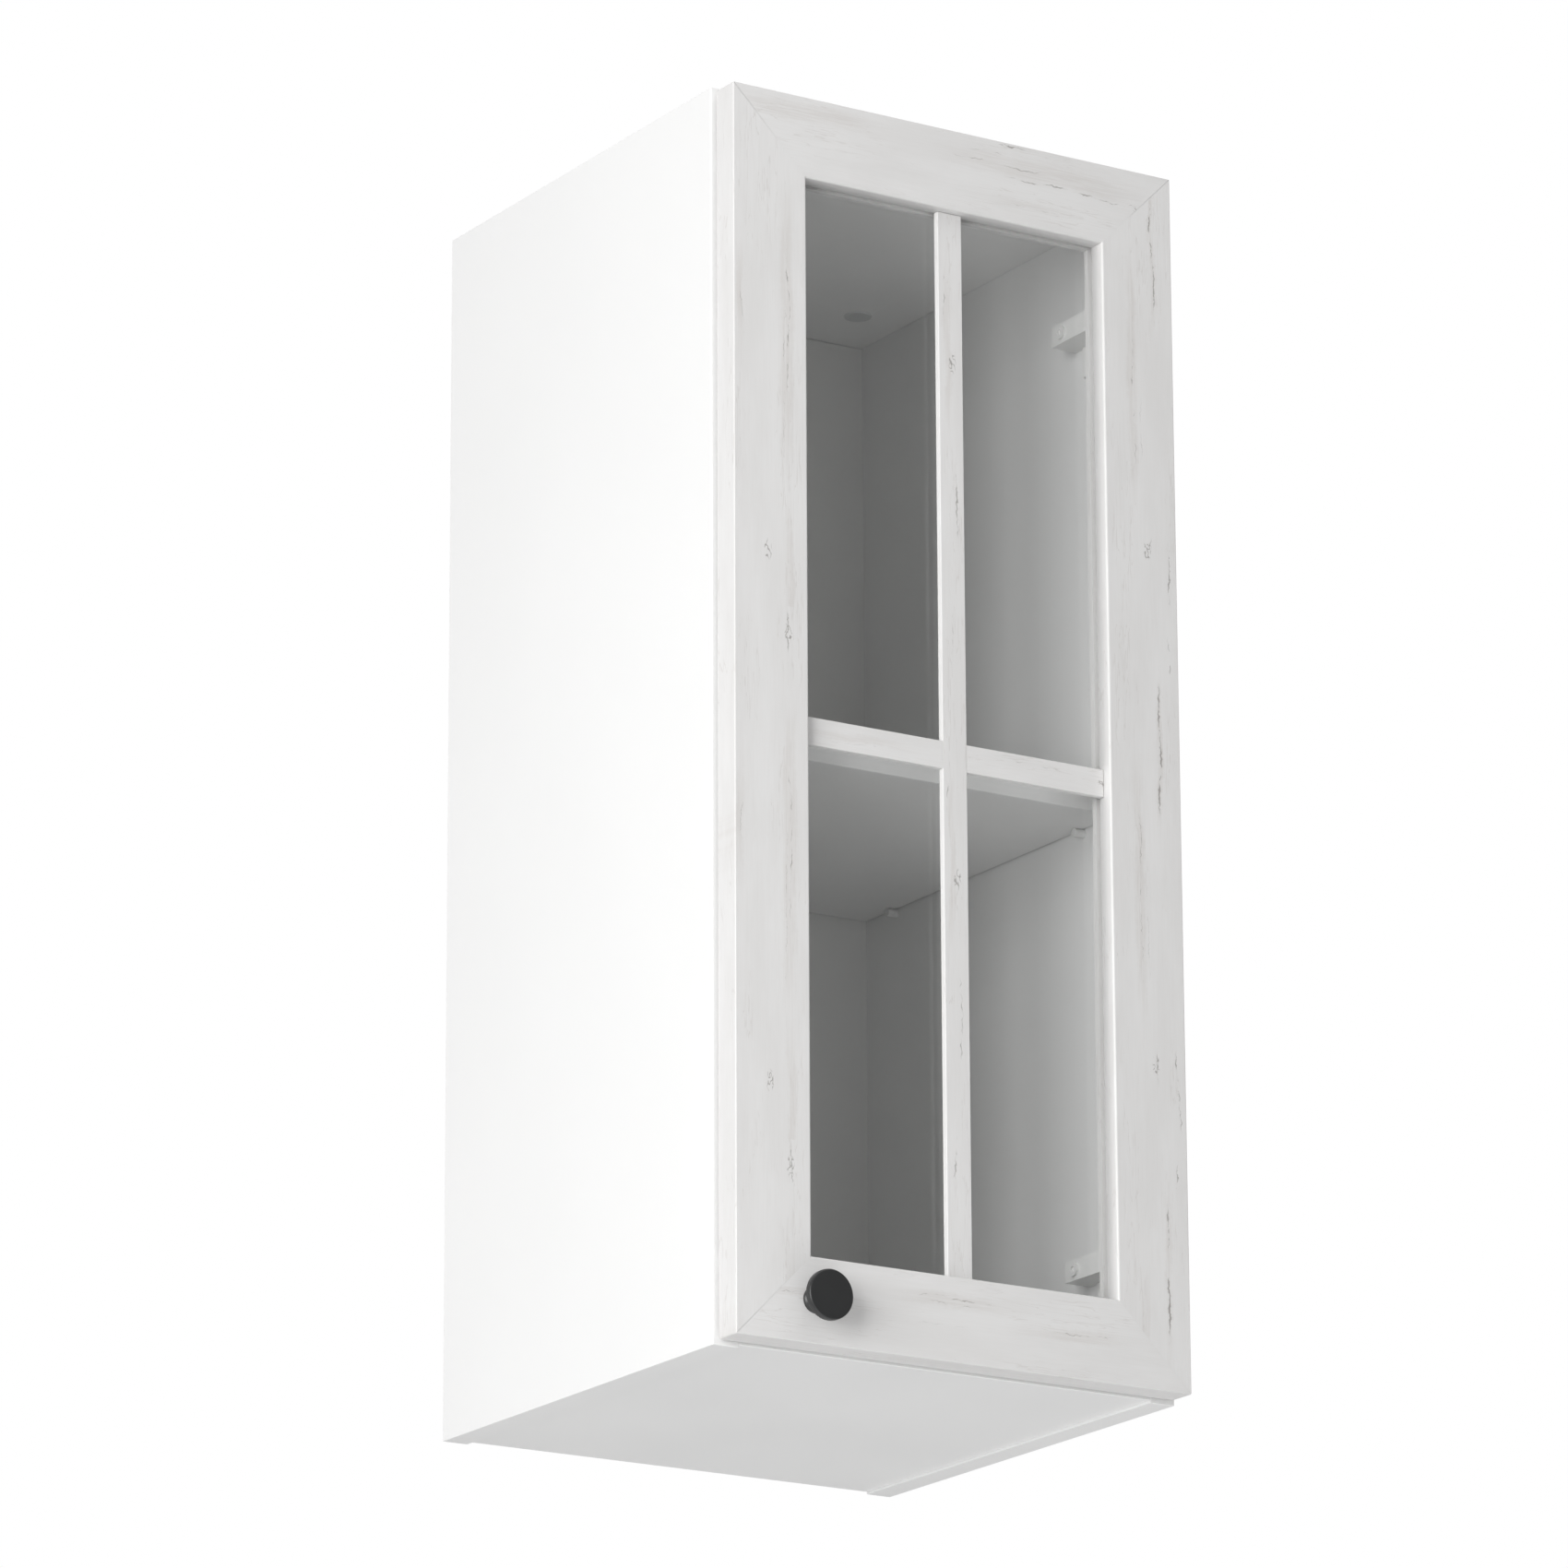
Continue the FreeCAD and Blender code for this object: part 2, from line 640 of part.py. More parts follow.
mitre_dowels = []
for corner_x, corner_z in CORNERS:
    for along in MITRE_SPOTS:
        mitre_dowels.append(mitre_dowel(corner_x, corner_z, along, 0, 0))
group("mitre_dowels", mitre_dowels)

# ---- glass, beads and bars ----------------------------------------------------------------------------
LAP = "(glass_lap - fit_gap)"
node("glass_pane", box(f"-({OPEN_HALF} + {LAP})", GLASS_FRONT_Y, f"{OPEN_LOW_Z} - {LAP}",
                       f"2 * ({OPEN_HALF} + {LAP})", "glass", f"{OPEN_TOP_Z} - {OPEN_LOW_Z} + 2 * {LAP}"))
BEAD_Y = f"({GLASS_FRONT_Y} + glass)"
BEAD_THICK = "(door_thick - glass_recess - glass)"
BEAD_TALL = f"({OPEN_TOP_Z} - {OPEN_LOW_Z} + 2 * {LAP})"
for side, name in ((-1, "left"), (1, "right")):
    node(f"glass_bead_{name}", box(low_x(side, OPEN_HALF, LAP), BEAD_Y, f"{OPEN_LOW_Z} - {LAP}", LAP,
                                   BEAD_THICK, BEAD_TALL))
node("glass_bead_top", box(f"-{OPEN_HALF}", BEAD_Y, OPEN_TOP_Z, f"2 * {OPEN_HALF}", BEAD_THICK, LAP))
node("glass_bead_bottom", box(f"-{OPEN_HALF}", BEAD_Y, f"{OPEN_LOW_Z} - {LAP}", f"2 * {OPEN_HALF}",
                              BEAD_THICK, LAP))

BAR_Y = f"({DOOR_FRONT_Y} + bar_recess)"
BAR_THICK = "(glass_recess - bar_recess)"
BAR_LOW_Z = "(bar_height - bar_width / 2)"
upright = box("-bar_width / 2", BAR_Y, OPEN_LOW_Z, "bar_width", BAR_THICK, f"{OPEN_TOP_Z} - {OPEN_LOW_Z}")
lap_rear = box("-bar_width / 2", f"{BAR_Y} + {BAR_THICK} / 2", BAR_LOW_Z, "bar_width", f"{BAR_THICK} / 2",
               "bar_width")
node("glazing_bar_vertical", cut(upright, [lap_rear]))
cross = box(f"-{OPEN_HALF}", BAR_Y, BAR_LOW_Z, f"2 * {OPEN_HALF}", BAR_THICK, "bar_width")
lap_front = box("-bar_width / 2", BAR_Y, BAR_LOW_Z, "bar_width", f"{BAR_THICK} / 2", "bar_width")
node("glazing_bar_horizontal", cut(cross, [lap_front]))

# ---- knob -----------------------------------------------------------------------------------------------
knob_head = rod("-Y", "-knob_x", f"{DOOR_FRONT_Y} - knob_reach + knob_head", KNOB_Z, "knob_radius",
                "knob_head")
knob_neck = taper("-Y", "-knob_x", f"{DOOR_FRONT_Y} - knob_base", KNOB_Z, "knob_foot", "knob_neck",
                  "knob_reach - knob_head - knob_base")
knob_foot = rod("-Y", "-knob_x", DOOR_FRONT_Y, KNOB_Z, "knob_foot", "knob_base")
knob_bore = rod("-Y", "-knob_x", DOOR_FRONT_Y, KNOB_Z, "knob_screw", "knob_bite + overrun")
knob = cut(fuse([knob_head, knob_neck, knob_foot]), [knob_bore])


def knob_rim(edge):
    if edge.Curve.TypeId != "Part::GeomCircle":
        return False
    return abs(edge.Curve.Radius - size("knob_radius")) < NEAR


node("knob", rounded(knob, size("knob_rim"), knob_rim))
node("knob_screw", screw("-Y", "-knob_x", DOOR_BACK_Y, KNOB_Z, "knob_screw", "door_thick + knob_bite",
                         "knob_screw_head", "knob_screw_tall", False))

# ---- hinges -----------------------------------------------------------------------------------------------
arm_pivot = Vector(size("width") / 2 - size("board") - size("arm_pivot_in"), -size("depth") / 2
                   - size("arm_pivot_out"), 0)
cup_pivot = Vector(size("width") / 2 - size("side_reveal") - size("cup_pivot_in"), -size("depth") / 2
                   - size("door_gap") - size("cup_pivot_deep"), 0)


def curved_strip(thick, first, last):
    """Plan outline of a strip along the link's arc, between two fractions of the way to the cup."""
    chord = cup_pivot - arm_pivot
    long = chord.Length
    chord.normalize()
    sag = size("link_sag")
    bulge = Vector(chord.y, -chord.x, 0)
    radius = (long * long / 4 + sag * sag) / (2 * sag)
    centre = arm_pivot + chord * (long / 2) - bulge * (radius - sag)
    half = math.asin(long / 2 / radius)

    def on_arc(away, share):
        turn = half * (2 * share - 1)
        return centre + (bulge * math.cos(turn) + chord * math.sin(turn)) * (radius + away)

    middle = (first + last) / 2
    outer = Part.Arc(on_arc(thick / 2, first), on_arc(thick / 2, middle), on_arc(thick / 2, last)).toShape()
    inner = Part.Arc(on_arc(-thick / 2, last), on_arc(-thick / 2, middle), on_arc(-thick / 2, first)).toShape()
    ends = [
        Part.makeLine(on_arc(thick / 2, last), on_arc(-thick / 2, last)),
        Part.makeLine(on_arc(-thick / 2, first), on_arc(thick / 2, first)),
    ]
    return Part.Face(Part.Wire([outer, ends[0], inner, ends[1]]))


def link_shape(hinge_z):
    """A bent U-shaped link: two cheeks with eyes at both pivots, joined by a web behind the bend."""
    inside = size("link_inside")
    plate = size("link_plate")
    eye = size("link_eye")
    hole = size("link_pin") + size("running")
    cheeks = []
    for low in (hinge_z - inside - plate, hinge_z + inside):
        lift = Vector(0, 0, low)
        cheek = curved_strip(size("link_thick"), 0, 1).extrude(Vector(0, 0, plate))
        cheek.translate(lift)
        for pivot in (arm_pivot, cup_pivot):
            cheek = cheek.fuse(Part.makeCylinder(eye, plate, pivot + lift))
        for pivot in (arm_pivot, cup_pivot):
            cheek = cheek.cut(Part.makeCylinder(hole, plate, pivot + lift))
        cheeks.append(cheek)
    web = curved_strip(size("web_thick"), size("web_from"), size("web_upto")).extrude(Vector(0, 0, 2 * inside))
    web.translate(Vector(0, 0, hinge_z - inside))
    return cheeks[0].fuse([cheeks[1], web]).removeSplitter()


LINK_ZS = {
    "lower": size("low_reveal") + size("hinge_inset"),
    "upper": size("height") - size("top_reveal") - size("hinge_inset"),
}
links = []
arm_pins = []
cup_pins = []
cup_screws = []
plate_screws = []
arm_screws = []
for name, hinge_z in HINGE_ZS.items():
    plate = box(PLATE_FACE_X, f"{PLATE_Y} - plate_front", f"{hinge_z} - plate_half", "plate_thick",
                "plate_wide", "2 * plate_half")
    boss_x = f"({ARM_X} + arm_thick / 2)"
    boss = box(boss_x, f"{PLATE_Y} - boss_front", f"{hinge_z} - arm_half + boss_air", f"{INNER_X} - {boss_x}",
               "boss_long", "2 * (arm_half - boss_air)")
    cuts = [rod("+X", boss_x, ARM_SCREW_Y, hinge_z, "arm_screw", "arm_screw_bite + overrun")]
    for up in (-1, 1):
        screw_z = f"({hinge_z} + {up} * plate_pitch)"
        cuts.append(taper("+X", PLATE_FACE_X, PLATE_Y, screw_z, "plate_screw_head", "plate_screw",
                          "plate_thick"))
        plate_screws.append(screw("+X", PLATE_FACE_X, PLATE_Y, screw_z, "plate_screw",
                                  "plate_screw_long", "plate_screw_head", "plate_thick", True))
    node(f"hinge_plate_{name}", cut(fuse([plate, boss]), cuts))

    arm = fuse([
        box(ARM_FACE_X, ARM_Y, f"{hinge_z} - arm_half", "arm_thick",
            f"arm_pivot_out + arm_tail", "2 * arm_half"),
        rod("+Z", ARM_X, ARM_Y, f"{hinge_z} - arm_half", "arm_nose", "2 * arm_half"),
    ])
    cuts = [
        rod("+Z", ARM_X, ARM_Y, f"{hinge_z} - arm_half", "link_pin", "2 * arm_half"),
        box(ARM_FACE_X, f"{ARM_Y} - arm_thick / 2", f"{hinge_z} - arm_half + arm_cheek", "arm_thick",
            "arm_thick / 2 + arm_slot", "2 * (arm_half - arm_cheek)"),
        box(f"{ARM_FACE_X} + arm_wall", ARM_Y, f"{hinge_z} - arm_half + arm_wall", "arm_thick - arm_wall",
            "arm_pivot_out + arm_channel", "2 * (arm_half - arm_wall)"),
        rod("+X", ARM_FACE_X, ARM_SCREW_Y, hinge_z, "arm_screw + arm_screw_air",
            "arm_thick"),
    ]
    node(f"hinge_arm_{name}", cut(arm, cuts))
    arm_screws.append(screw("+X", ARM_FACE_X, ARM_SCREW_Y, hinge_z, "arm_screw",
                            "arm_thick + arm_screw_bite", "arm_screw_head", "arm_screw_tall", False))
    arm_pins.append(rod("+Z", ARM_X, ARM_Y, f"{hinge_z} - link_inside - link_plate", "link_pin",
                        "2 * (link_inside + link_plate)"))
    links.append(shaped(link_shape(LINK_ZS[name])))

    cup = rod("-Y", CUP_X, DOOR_BACK_Y, hinge_z, "cup_radius", "cup_depth")
    flange_x = f"({CUP_SCREW_X} - flange_margin)"
    wing = box(flange_x, DOOR_BACK_Y, f"{hinge_z} - flange_half", f"{INNER_X} - flange_air - {flange_x}",
               "flange", "2 * flange_half")
    cuts = [
        rod("-Y", CUP_X, CUP_FACE_Y, hinge_z, "cup_radius - cup_wall",
            "flange + cup_depth - cup_floor"),
        box(f"{CUP_X} + cup_notch", f"{DOOR_BACK_Y} - notch_deep",
            f"{hinge_z} - link_inside - link_plate - notch_air", "cup_radius", "notch_deep + overrun",
            "2 * (link_inside + link_plate + notch_air)"),
        rod("+Z", PIVOT_X, PIVOT_Y, f"{hinge_z} - cup_pin_half", "link_pin", "2 * cup_pin_half"),
    ]
    for up in (-1, 1):
        screw_z = f"({hinge_z} + {up} * cup_screw_step)"
        cuts.append(taper("-Y", CUP_SCREW_X, CUP_FACE_Y, screw_z, "cup_screw_head", "cup_screw",
                          "flange"))
        cup_screws.append(screw("-Y", CUP_SCREW_X, CUP_FACE_Y, screw_z, "cup_screw",
                                "cup_screw_long", "cup_screw_head", "flange", True))
    node(f"hinge_cup_{name}", cut(fuse([cup, wing]), cuts))
    cup_pins.append(rod("+Z", PIVOT_X, PIVOT_Y, f"{hinge_z} - cup_pin_half", "link_pin", "2 * cup_pin_half"))
group("hinge_links", links)
group("hinge_arm_pins", arm_pins)
group("hinge_cup_pins", cup_pins)
group("hinge_cup_screws", cup_screws)
group("hinge_plate_screws", plate_screws)
group("hinge_arm_screws", arm_screws)

# ---- check and write ----------------------------------------------------------------------------------------
doc.recompute()
for thing in doc.Objects:
    faults = [state for state in thing.State if state in ("Invalid", "Error")]
    if faults:
        raise RuntimeError(f"{thing.Name} ({thing.Label}) is {faults}")
for thing in nodes:
    if thing.Shape.isNull() or not thing.Shape.isValid() or thing.Shape.Volume <= 0:
        raise RuntimeError(f"{thing.Label} has no valid shape")
os.makedirs("parts", exist_ok=True)
for thing in nodes:
    thing.Shape.exportStep(os.path.join("parts", thing.Label + ".step"))
print(len(nodes), "nodes,", sum(len(thing.Shape.Solids) for thing in nodes), "solids")
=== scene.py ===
"""Looks for the narrow glazed wall cabinet: boards, foiled door frame, glass, knob and fittings."""
import json
import math

import bmesh
import bpy
from mathutils import Euler, Matrix, Vector

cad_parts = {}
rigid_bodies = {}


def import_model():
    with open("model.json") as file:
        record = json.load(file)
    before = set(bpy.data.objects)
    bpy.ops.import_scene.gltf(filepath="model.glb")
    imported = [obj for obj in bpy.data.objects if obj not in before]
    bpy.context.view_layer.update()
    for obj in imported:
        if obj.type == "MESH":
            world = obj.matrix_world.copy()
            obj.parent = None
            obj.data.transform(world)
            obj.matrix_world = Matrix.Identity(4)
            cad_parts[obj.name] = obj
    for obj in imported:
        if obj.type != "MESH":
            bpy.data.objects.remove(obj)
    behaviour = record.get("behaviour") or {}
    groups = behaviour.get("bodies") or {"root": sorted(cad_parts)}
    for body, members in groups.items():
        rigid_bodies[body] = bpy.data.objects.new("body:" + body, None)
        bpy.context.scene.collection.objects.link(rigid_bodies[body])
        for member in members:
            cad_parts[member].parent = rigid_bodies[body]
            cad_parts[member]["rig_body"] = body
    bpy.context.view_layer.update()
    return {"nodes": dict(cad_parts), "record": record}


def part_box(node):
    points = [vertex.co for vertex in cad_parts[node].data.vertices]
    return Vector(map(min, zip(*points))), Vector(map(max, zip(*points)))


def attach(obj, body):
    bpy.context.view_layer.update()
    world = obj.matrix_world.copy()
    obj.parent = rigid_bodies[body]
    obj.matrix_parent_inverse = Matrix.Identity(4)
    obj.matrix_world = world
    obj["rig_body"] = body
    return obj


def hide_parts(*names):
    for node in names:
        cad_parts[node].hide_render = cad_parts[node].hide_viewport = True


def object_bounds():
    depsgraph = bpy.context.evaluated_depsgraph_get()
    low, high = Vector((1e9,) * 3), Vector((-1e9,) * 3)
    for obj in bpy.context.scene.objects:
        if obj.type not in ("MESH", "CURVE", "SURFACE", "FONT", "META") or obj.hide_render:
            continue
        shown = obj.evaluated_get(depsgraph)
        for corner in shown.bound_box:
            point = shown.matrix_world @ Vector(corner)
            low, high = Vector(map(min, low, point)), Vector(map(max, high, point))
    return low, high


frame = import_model()
MM = 0.001
# share of light that the glass mirrors head on
HEAD_ON_MIRROR = 0.035
# length of the foil's printed pattern, in millimetres
FOIL_REPEAT = 302.0
# refractive index of lacquer and melamine
LACQUER_IOR = 1.45
# noise stays mostly inside this range, so it is spread from there
NOISE_LOW, NOISE_HIGH = 0.3, 0.7


# ---- node material helpers -----------------------------------------------------------------------
class Recipe:
    """A material being built: short calls that add a node and return its output."""

    def __init__(self, name):
        self.material = bpy.data.materials.new(name)
        self.material.use_nodes = True
        self.tree = self.material.node_tree
        self.tree.nodes.clear()
        self.out = self.tree.nodes.new("ShaderNodeOutputMaterial")

    def add(self, kind, **settings):
        node = self.tree.nodes.new(kind)
        for key, value in settings.items():
            setattr(node, key, value)
        return node

    def feed(self, socket, value):
        if isinstance(value, bpy.types.NodeSocket):
            self.tree.links.new(value, socket)
        elif isinstance(value, (tuple, list)) and len(value) == 3 and socket.type == "RGBA":
            socket.default_value = (*value, 1.0)
        else:
            socket.default_value = value

    def place(self):
        return self.add("ShaderNodeTexCoord").outputs["Object"]

    def mapped(self, vector, scale, move=(0, 0, 0)):
        node = self.add("ShaderNodeMapping")
        self.feed(node.inputs["Vector"], vector)
        node.inputs["Scale"].default_value = scale
        node.inputs["Location"].default_value = move
        return node.outputs["Vector"]

    def noise(self, vector, scale, detail=4.0, rough=0.5, warp=0.0):
        node = self.add("ShaderNodeTexNoise")
        self.feed(node.inputs["Vector"], vector)
        node.inputs["Scale"].default_value = scale
        node.inputs["Detail"].default_value = detail
        node.inputs["Roughness"].default_value = rough
        node.inputs["Distortion"].default_value = warp
        return node.outputs["Fac"]

    def math(self, operation, a, b=0.0, c=0.0):
        node = self.add("ShaderNodeMath", operation=operation)
        for socket, value in zip(node.inputs, (a, b, c)):
            self.feed(socket, value)
        return node.outputs[0]

    def times(self, a, b):
        return self.math("MULTIPLY", a, b)

    def distance(self, a, b):
        return self.math("ABSOLUTE", self.math("SUBTRACT", a, b))

    def between(self, value, low, high, to_low=0.0, to_high=1.0):
        """value eased from low..high to to_low..to_high."""
        node = self.add("ShaderNodeMapRange", interpolation_type="SMOOTHSTEP")
        self.feed(node.inputs["Value"], value)
        node.inputs["From Min"].default_value = low
        node.inputs["From Max"].default_value = high
        node.inputs["To Min"].default_value = to_low
        node.inputs["To Max"].default_value = to_high
        return node.outputs["Result"]

    def mix(self, share, a, b):
        node = self.add("ShaderNodeMix", data_type="RGBA")
        self.feed(node.inputs["Factor"], share)
        self.feed(node.inputs["A"], a)
        self.feed(node.inputs["B"], b)
        return node.outputs["Result"]

    def apart(self, vector):
        node = self.add("ShaderNodeSeparateXYZ")
        self.feed(node.inputs[0], vector)
        return node.outputs

    def joined(self, x, y, z):
        node = self.add("ShaderNodeCombineXYZ")
        for socket, value in zip(node.inputs, (x, y, z)):
            self.feed(socket, value)
        return node.outputs[0]

    def spread(self, noise, to_low, to_high):
        return self.between(noise, NOISE_LOW, NOISE_HIGH, to_low, to_high)

    def bump(self, height, depth, strength):
        node = self.add("ShaderNodeBump")
        node.inputs["Strength"].default_value = strength
        node.inputs["Distance"].default_value = depth
        self.feed(node.inputs["Height"], height)
        return node.outputs["Normal"]

    def surface(self, color, rough, normal=None, **extra):
        node = self.add("ShaderNodeBsdfPrincipled")
        self.feed(node.inputs["Base Color"], color)
        self.feed(node.inputs["Roughness"], rough)
        if normal is not None:
            self.feed(node.inputs["Normal"], normal)
        for key, value in extra.items():
            node.inputs[key.replace("_", " ")].default_value = value
        self.tree.links.new(node.outputs[0], self.out.inputs["Surface"])
        return self.material


def shaded(tone, share):
    """The tone, darkened to a share of itself."""
    return tuple(channel * share for channel in tone)


def laminate(name, tone, rough=0.38):
    """Melamine board: nearly white, with a faint mottle and a fine pearl texture."""
    r = Recipe(name)
    place = r.place()
    cloud = r.noise(place, 9.0, 3.0)
    color = r.mix(cloud, shaded(tone, 0.985), tone)
    pearl = r.noise(place, 1400.0, 2.0)
    gloss = r.spread(cloud, rough - 0.03, rough + 0.04)
    return r.surface(color, gloss, r.bump(pearl, 0.04 * MM, 0.35), IOR=LACQUER_IOR)


WASH = (0.746, 0.741, 0.736)
WASH_DEEP = (0.710, 0.703, 0.696)
THREAD_TONE = (0.620, 0.606, 0.592)
HAIR_TONE = (0.500, 0.470, 0.445)
STAIN_TONE = (0.560, 0.528, 0.502)
SPLIT_TONE = (0.230, 0.212, 0.200)


class Foil(Recipe):
    """Whitewashed pine foil on one door member.

    Everything is measured in millimetres on the member: across is how far a point lies from the
    member's inner edge, and along is how far it lies down or along the member.
    """

    def __init__(self, name, across_axis, across_from, along_axis, along_from,
                 flip_across, flip_along):
        super().__init__(name)
        axes = dict(zip("XYZ", self.apart(self.place())))
        self.across = self.measured(axes[across_axis], across_from, flip_across)
        self.along = self.measured(axes[along_axis], along_from, flip_along)
        self.spot = self.joined(self.across, self.along, self.times(axes["Y"], 1.0 / MM))
        bend = self.math("SUBTRACT", self.grain((0.03, 0.022, 0.0), 1.0), 0.5)
        kink = self.math("SUBTRACT", self.grain((0.2, 0.24, 0.0), 3.0, 0.6), 0.5)
        sway = self.math("MULTIPLY_ADD", bend, 9.0, self.times(kink, 3.4))
        self.bent = self.math("ADD", self.across, sway)
        self.tiled = self.math("MODULO", self.along, FOIL_REPEAT)
        self.broken = self.grain((0.22, 0.085, 0.0), 3.0, 0.6)
        self.thready = self.grain((1.1, 0.045, 0.3), 4.0, 0.62)

    def grain(self, scale, detail, rough=0.5, move=(0, 0, 0)):
        """Noise stretched by scale across, along and into the member, per millimetre."""
        return self.noise(self.mapped(self.spot, scale, move), 1.0, detail, rough)

    def measured(self, axis, start, flip):
        sign = -1.0 if flip else 1.0
        return self.math("MULTIPLY_ADD", axis, sign / MM, -sign * start / MM)

    def stretch(self, first, last, fade=6.0):
        """1 between two places along the member, 0 beyond them."""
        begun = self.between(self.tiled, first - fade, first + fade)
        over = self.between(self.tiled, last - fade, last + fade, 1.0, 0.0)
        return self.times(begun, over)

    def stain(self, across, first, last, half_wide):
        """A soft brownish band of old wood under the wash."""
        away = self.distance(self.bent, across)
        body = self.between(away, half_wide * 0.3, half_wide, 1.0, 0.0)
        return self.times(body, self.stretch(first, last, 22.0))

    def crack(self, across, first, last, wide):
        """A thin split that follows the grain, broken into dashes."""
        swell = self.between(self.broken, 0.36, 0.66, 0.0, wide)
        line = self.math("SUBTRACT", swell, self.distance(self.bent, across))
        return self.times(self.between(line, -0.05, 0.34), self.stretch(first, last))

    def knot(self, across, along):
        """A pin knot: a few curled lines in a long small oval."""
        half_wide, half_long = 2.6, 6.5
        off_across = self.times(self.math("SUBTRACT", self.across, across), 1.0 / half_wide)
        off_along = self.times(self.math("SUBTRACT", self.tiled, along), 1.0 / half_long)
        squares = self.times(off_along, off_along)
        squares = self.math("MULTIPLY_ADD", off_across, off_across, squares)
        inside = self.between(squares, 0.5, 1.15, 1.0, 0.0)
        curl = self.grain((0.42, 0.20, 0.0), 1.0)
        ring = self.between(self.distance(curl, 0.5), 0.012, 0.045, 1.0, 0.0)
        return self.times(ring, inside)

    def most(self, marks):
        """The strongest of several marks at each point."""
        whole = marks[0]
        for mark in marks[1:]:
            whole = self.math("MAXIMUM", whole, mark)
        return whole

    def hairlines(self):
        """Faint scattered lines of grain, in patches."""
        lines = self.grain((0.34, 0.020, 0.15), 2.0, 0.55)
        line = self.between(self.distance(lines, 0.5), 0.004, 0.016, 1.0, 0.0)
        patch = self.grain((0.045, 0.014, 0.05), 2.0, move=(3.1, 7.7, 1.3))
        return self.times(line, self.between(patch, 0.48, 0.62))

    def finished(self, stains, cracks, knots):
        """The foil with its marks laid over one another, from the palest to the darkest."""
        cloud = self.grain((0.05, 0.012, 0.05), 3.0, 0.6)
        color = self.mix(self.spread(cloud, 0.0, 1.0), WASH, WASH_DEEP)
        threads = self.between(self.thready, 0.35, 0.75)
        color = self.mix(self.times(threads, 0.13), color, THREAD_TONE)
        hair = self.hairlines()
        color = self.mix(self.times(hair, 0.28), color, HAIR_TONE)
        band = self.most([self.stain(*place) for place in stains])
        mottled = self.times(band, self.between(self.thready, 0.30, 0.62, 0.25, 0.95))
        color = self.mix(self.times(mottled, 0.36), color, STAIN_TONE)
        dark = [self.crack(*place) for place in cracks] + [self.knot(*place) for place in knots]
        splits = self.most(dark)
        color = self.mix(self.times(splits, 0.70), color, SPLIT_TONE)
        height = self.math("SUBTRACT", self.times(self.thready, 0.35), splits)
        height = self.math("MULTIPLY_ADD", hair, -0.3, height)
        rough = self.between(self.thready, 0.3, 0.8, 0.44, 0.56)
        return self.surface(color, rough, self.bump(height, 0.1 * MM, 0.6), IOR=LACQUER_IOR)


def clear_glass(name):
    """A pane as two see-through faces: a slight grey tint, and a mirror that grows at a slant."""
    r = Recipe(name)
    tint = r.add("ShaderNodeBsdfTransparent")
    tint.inputs["Color"].default_value = (0.984, 0.986, 0.985, 1.0)
    mirror = r.add("ShaderNodeBsdfGlossy")
    mirror.inputs["Roughness"].default_value = 0.02
    film = r.noise(r.place(), 5.0, 2.0)
    r.feed(mirror.inputs["Color"], r.mix(film, (0.93, 0.94, 0.94), (1.0, 1.0, 1.0)))
    slant = r.add("ShaderNodeLayerWeight")
    slant.inputs["Blend"].default_value = 0.5
    steep = r.math("POWER", slant.outputs["Facing"], 5.0)
    share = r.math("MULTIPLY_ADD", steep, 1.0 - HEAD_ON_MIRROR, HEAD_ON_MIRROR)
    mixed = r.add("ShaderNodeMixShader")
    r.feed(mixed.inputs["Fac"], share)
    r.feed(mixed.inputs[1], tint.outputs[0])
    r.feed(mixed.inputs[2], mirror.outputs[0])
    r.tree.links.new(mixed.outputs[0], r.out.inputs["Surface"])
    return r.material


def satin_black(name):
    """Black powder coat with a fine orange peel."""
    r = Recipe(name)
    peel = r.noise(r.place(), 1200.0, 2.0)
    wear = r.noise(r.place(), 60.0, 4.0)
    color = r.mix(wear, (0.018, 0.0185, 0.019), (0.025, 0.0255, 0.026))
    return r.surface(color, r.spread(wear, 0.32, 0.40), r.bump(peel, 0.03 * MM, 0.35))


def metal(name, tone, rough, scratch):
    """Plated or cast metal, with fine scratches or a cast grain."""
    r = Recipe(name)
    grain = r.noise(r.mapped(r.place(), scratch), 700.0, 3.0)
    patch = r.noise(r.place(), 70.0, 2.0)
    color = r.mix(patch, shaded(tone, 0.86), tone)
    gloss = r.spread(grain, rough - 0.05, rough + 0.08)
    return r.surface(color, gloss, r.bump(grain, 0.04 * MM, 0.4), Metallic=1.0)


def beech(name):
    """Bare beech, with its grain along the dowel."""
    r = Recipe(name)
    grain = r.noise(r.mapped(r.place(), (0.05, 1, 1)), 900.0, 3.0)
    color = r.mix(grain, (0.56, 0.37, 0.21), (0.70, 0.50, 0.32))
    return r.surface(color, 0.62, r.bump(grain, 0.08 * MM, 0.5))


def plastic(name, tone, rough, through=0.0):
    """Moulded plastic with a fine spark texture; through is its share of scattered light."""
    r = Recipe(name)
    mottle = r.noise(r.place(), 240.0, 2.0)
    color = r.mix(mottle, shaded(tone, 0.94), tone)
    gloss = r.spread(mottle, rough - 0.05, rough + 0.05)
    return r.surface(color, gloss, r.bump(mottle, 0.04 * MM, 0.4), Subsurface_Weight=through)


def hardboard(name, tone):
    """Painted hardboard: a light web of fibres under the lacquer."""
    r = Recipe(name)
    fibre = r.noise(r.place(), 420.0, 6.0, 0.65, 1.2)
    color = r.mix(fibre, shaded(tone, 0.96), tone)
    return r.surface(color, r.spread(fibre, 0.5, 0.62), r.bump(fibre, 0.1 * MM, 0.4))


